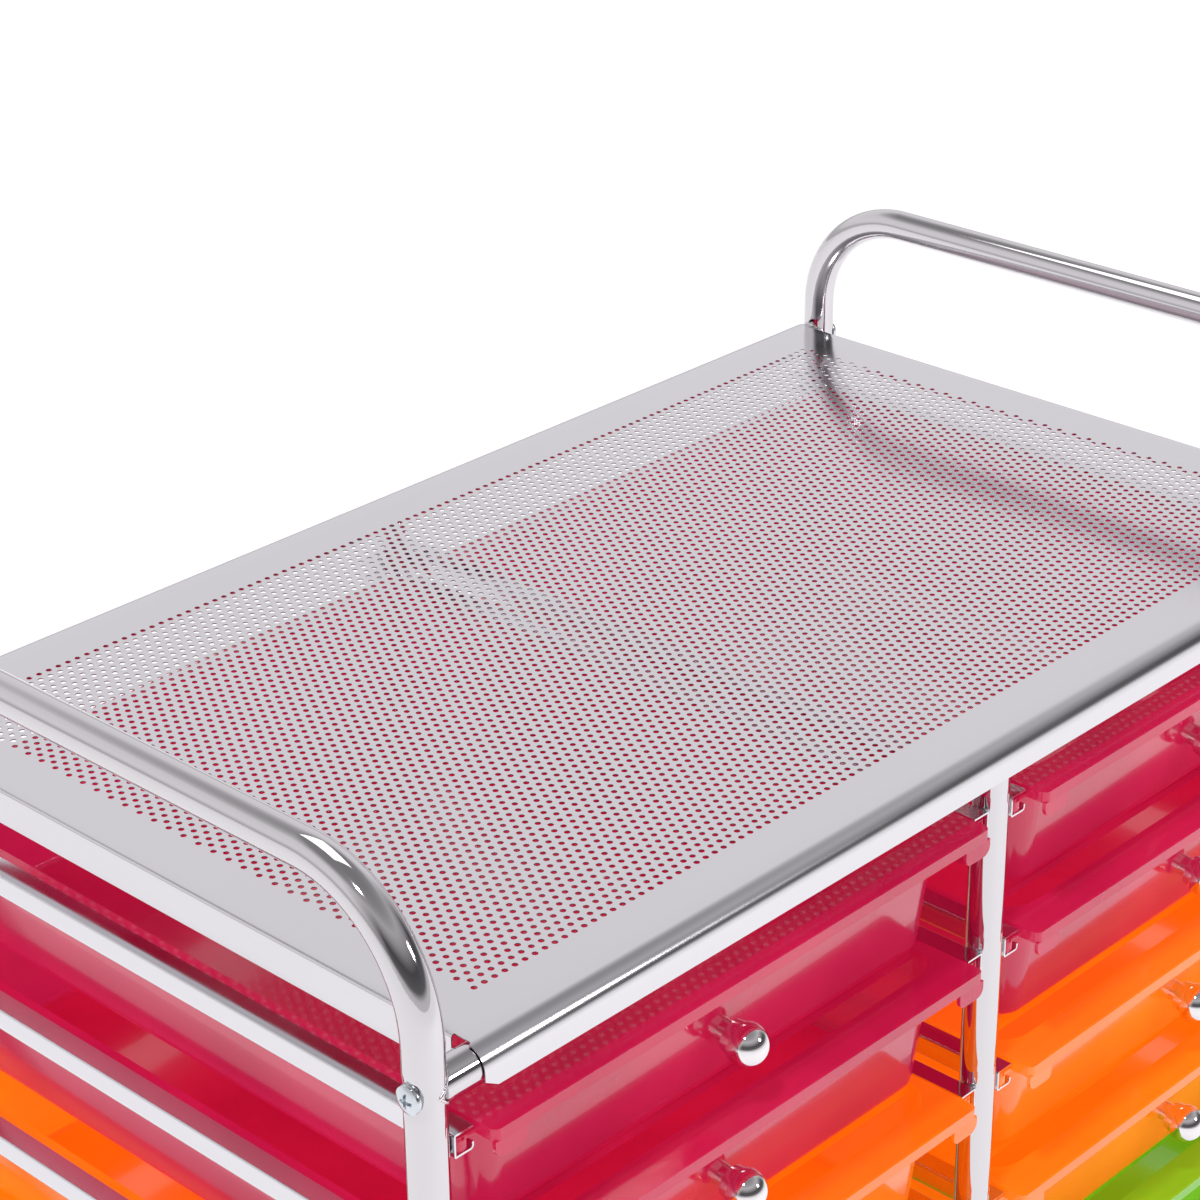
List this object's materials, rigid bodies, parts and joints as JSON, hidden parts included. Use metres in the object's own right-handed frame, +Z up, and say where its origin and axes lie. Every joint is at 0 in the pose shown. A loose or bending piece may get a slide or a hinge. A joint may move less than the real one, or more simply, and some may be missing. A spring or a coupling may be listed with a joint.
{
  "type": "rolling storage cart",
  "caption": "Chromed tube cart on swivel casters with a perforated rolled-edge top, side handles and two columns of coloured translucent trays that slide on rails.",
  "frame": {"origin": "on the floor, midway between the four legs", "axes": "+Z up, +X to the right of someone facing the drawer fronts, -Y out of the drawer fronts"},
  "size_m": [0.6372, 0.3717, 0.955],
  "materials": {
    "chromed_steel": "mirror-like chrome plating on tube and sheet",
    "perforated_steel": "chrome plating over a regular pattern of small round holes",
    "zinc_plated_steel": "bright zinc plating",
    "chromed_plastic": "mirror-like chrome plating on a moulded knob",
    "red_plastic": "glossy translucent moulding",
    "orange_plastic": "glossy translucent moulding",
    "green_plastic": "glossy translucent moulding",
    "blue_plastic": "glossy translucent moulding",
    "purple_plastic": "glossy translucent moulding",
    "black_plastic": "satin moulding"
  },
  "bodies": {
    "frame": {"left_side_frame": "chromed_steel", "right_side_frame": "chromed_steel", "front_top_tube": "chromed_steel", "rear_top_tube": "chromed_steel", "bottom_tubes": "chromed_steel", "centre_posts": "chromed_steel", "top_panel": "perforated_steel", "left_outer_rails": "chromed_steel", "right_outer_rails": "chromed_steel", "centre_rails": "chromed_steel", "caster_sockets": "black_plastic"},
    "left_tray_01": {"left_drawer_01": "red_plastic", "left_knob_01": "chromed_plastic"},
    "left_tray_02": {"left_drawer_02": "red_plastic", "left_knob_02": "chromed_plastic"},
    "left_tray_03": {"left_drawer_03": "orange_plastic", "left_knob_03": "chromed_plastic"},
    "left_tray_04": {"left_drawer_04": "orange_plastic", "left_knob_04": "chromed_plastic"},
    "left_tray_05": {"left_drawer_05": "green_plastic", "left_knob_05": "chromed_plastic"},
    "left_tray_06": {"left_drawer_06": "green_plastic", "left_knob_06": "chromed_plastic"},
    "left_tray_07": {"left_drawer_07": "blue_plastic", "left_knob_07": "chromed_plastic"},
    "left_tray_08": {"left_drawer_08": "blue_plastic", "left_knob_08": "chromed_plastic"},
    "left_tray_09": {"left_drawer_09": "purple_plastic", "left_knob_09": "chromed_plastic"},
    "left_tray_10": {"left_drawer_10": "purple_plastic", "left_knob_10": "chromed_plastic"},
    "right_tray_01": {"right_drawer_01": "red_plastic", "right_knob_01": "chromed_plastic"},
    "right_tray_02": {"right_drawer_02": "red_plastic", "right_knob_02": "chromed_plastic"},
    "right_tray_03": {"right_drawer_03": "orange_plastic", "right_knob_03": "chromed_plastic"},
    "right_tray_04": {"right_drawer_04": "orange_plastic", "right_knob_04": "chromed_plastic"},
    "right_tray_05": {"right_drawer_05": "green_plastic", "right_knob_05": "chromed_plastic"},
    "right_tray_06": {"right_drawer_06": "green_plastic", "right_knob_06": "chromed_plastic"},
    "right_tray_07": {"right_drawer_07": "blue_plastic", "right_knob_07": "chromed_plastic"},
    "right_tray_08": {"right_drawer_08": "blue_plastic", "right_knob_08": "chromed_plastic"},
    "right_tray_09": {"right_drawer_09": "purple_plastic", "right_knob_09": "chromed_plastic"},
    "right_tray_10": {"right_drawer_10": "purple_plastic", "right_knob_10": "chromed_plastic"},
    "front_left_swivel": {"front_left_caster_fork": "zinc_plated_steel"},
    "front_left_roller": {"front_left_caster_wheel": "black_plastic"},
    "front_right_swivel": {"front_right_caster_fork": "zinc_plated_steel"},
    "front_right_roller": {"front_right_caster_wheel": "black_plastic"},
    "rear_left_swivel": {"rear_left_caster_fork": "zinc_plated_steel"},
    "rear_left_roller": {"rear_left_caster_wheel": "black_plastic"},
    "rear_right_swivel": {"rear_right_caster_fork": "zinc_plated_steel"},
    "rear_right_roller": {"rear_right_caster_wheel": "black_plastic"}
  },
  "joints": [
    {"name": "left_slide_01", "type": "slide", "parent": "frame", "child": "left_tray_01", "axis": [0, -1, 0], "range_m": [0, 0.28]},
    {"name": "left_slide_02", "type": "slide", "parent": "frame", "child": "left_tray_02", "axis": [0, -1, 0], "range_m": [0, 0.28]},
    {"name": "left_slide_03", "type": "slide", "parent": "frame", "child": "left_tray_03", "axis": [0, -1, 0], "range_m": [0, 0.28]},
    {"name": "left_slide_04", "type": "slide", "parent": "frame", "child": "left_tray_04", "axis": [0, -1, 0], "range_m": [0, 0.28]},
    {"name": "left_slide_05", "type": "slide", "parent": "frame", "child": "left_tray_05", "axis": [0, -1, 0], "range_m": [0, 0.28]},
    {"name": "left_slide_06", "type": "slide", "parent": "frame", "child": "left_tray_06", "axis": [0, -1, 0], "range_m": [0, 0.28]},
    {"name": "left_slide_07", "type": "slide", "parent": "frame", "child": "left_tray_07", "axis": [0, -1, 0], "range_m": [0, 0.28]},
    {"name": "left_slide_08", "type": "slide", "parent": "frame", "child": "left_tray_08", "axis": [0, -1, 0], "range_m": [0, 0.28]},
    {"name": "left_slide_09", "type": "slide", "parent": "frame", "child": "left_tray_09", "axis": [0, -1, 0], "range_m": [0, 0.28]},
    {"name": "left_slide_10", "type": "slide", "parent": "frame", "child": "left_tray_10", "axis": [0, -1, 0], "range_m": [0, 0.28]},
    {"name": "right_slide_01", "type": "slide", "parent": "frame", "child": "right_tray_01", "axis": [0, -1, 0], "range_m": [0, 0.28]},
    {"name": "right_slide_02", "type": "slide", "parent": "frame", "child": "right_tray_02", "axis": [0, -1, 0], "range_m": [0, 0.28]},
    {"name": "right_slide_03", "type": "slide", "parent": "frame", "child": "right_tray_03", "axis": [0, -1, 0], "range_m": [0, 0.28]},
    {"name": "right_slide_04", "type": "slide", "parent": "frame", "child": "right_tray_04", "axis": [0, -1, 0], "range_m": [0, 0.28]},
    {"name": "right_slide_05", "type": "slide", "parent": "frame", "child": "right_tray_05", "axis": [0, -1, 0], "range_m": [0, 0.28]},
    {"name": "right_slide_06", "type": "slide", "parent": "frame", "child": "right_tray_06", "axis": [0, -1, 0], "range_m": [0, 0.28]},
    {"name": "right_slide_07", "type": "slide", "parent": "frame", "child": "right_tray_07", "axis": [0, -1, 0], "range_m": [0, 0.28]},
    {"name": "right_slide_08", "type": "slide", "parent": "frame", "child": "right_tray_08", "axis": [0, -1, 0], "range_m": [0, 0.28]},
    {"name": "right_slide_09", "type": "slide", "parent": "frame", "child": "right_tray_09", "axis": [0, -1, 0], "range_m": [0, 0.28]},
    {"name": "right_slide_10", "type": "slide", "parent": "frame", "child": "right_tray_10", "axis": [0, -1, 0], "range_m": [0, 0.28]},
    {"name": "front_left_caster_swivel", "type": "hinge", "parent": "frame", "child": "front_left_swivel", "pos_m": [-0.306, -0.172, 0.068], "axis": [0, 0, 1], "continuous": true},
    {"name": "front_left_caster_roll", "type": "hinge", "parent": "front_left_swivel", "child": "front_left_roller", "pos_m": [-0.306, -0.158, 0.025], "axis": [1, 0, 0], "continuous": true},
    {"name": "front_right_caster_swivel", "type": "hinge", "parent": "frame", "child": "front_right_swivel", "pos_m": [0.306, -0.172, 0.068], "axis": [0, 0, 1], "continuous": true},
    {"name": "front_right_caster_roll", "type": "hinge", "parent": "front_right_swivel", "child": "front_right_roller", "pos_m": [0.306, -0.158, 0.025], "axis": [1, 0, 0], "continuous": true},
    {"name": "rear_left_caster_swivel", "type": "hinge", "parent": "frame", "child": "rear_left_swivel", "pos_m": [-0.306, 0.172, 0.068], "axis": [0, 0, 1], "continuous": true},
    {"name": "rear_left_caster_roll", "type": "hinge", "parent": "rear_left_swivel", "child": "rear_left_roller", "pos_m": [-0.306, 0.158, 0.025], "axis": [1, 0, 0], "continuous": true},
    {"name": "rear_right_caster_swivel", "type": "hinge", "parent": "frame", "child": "rear_right_swivel", "pos_m": [0.306, 0.172, 0.068], "axis": [0, 0, 1], "continuous": true},
    {"name": "rear_right_caster_roll", "type": "hinge", "parent": "rear_right_swivel", "child": "rear_right_roller", "pos_m": [0.306, 0.158, 0.025], "axis": [1, 0, 0], "continuous": true}
  ]
}
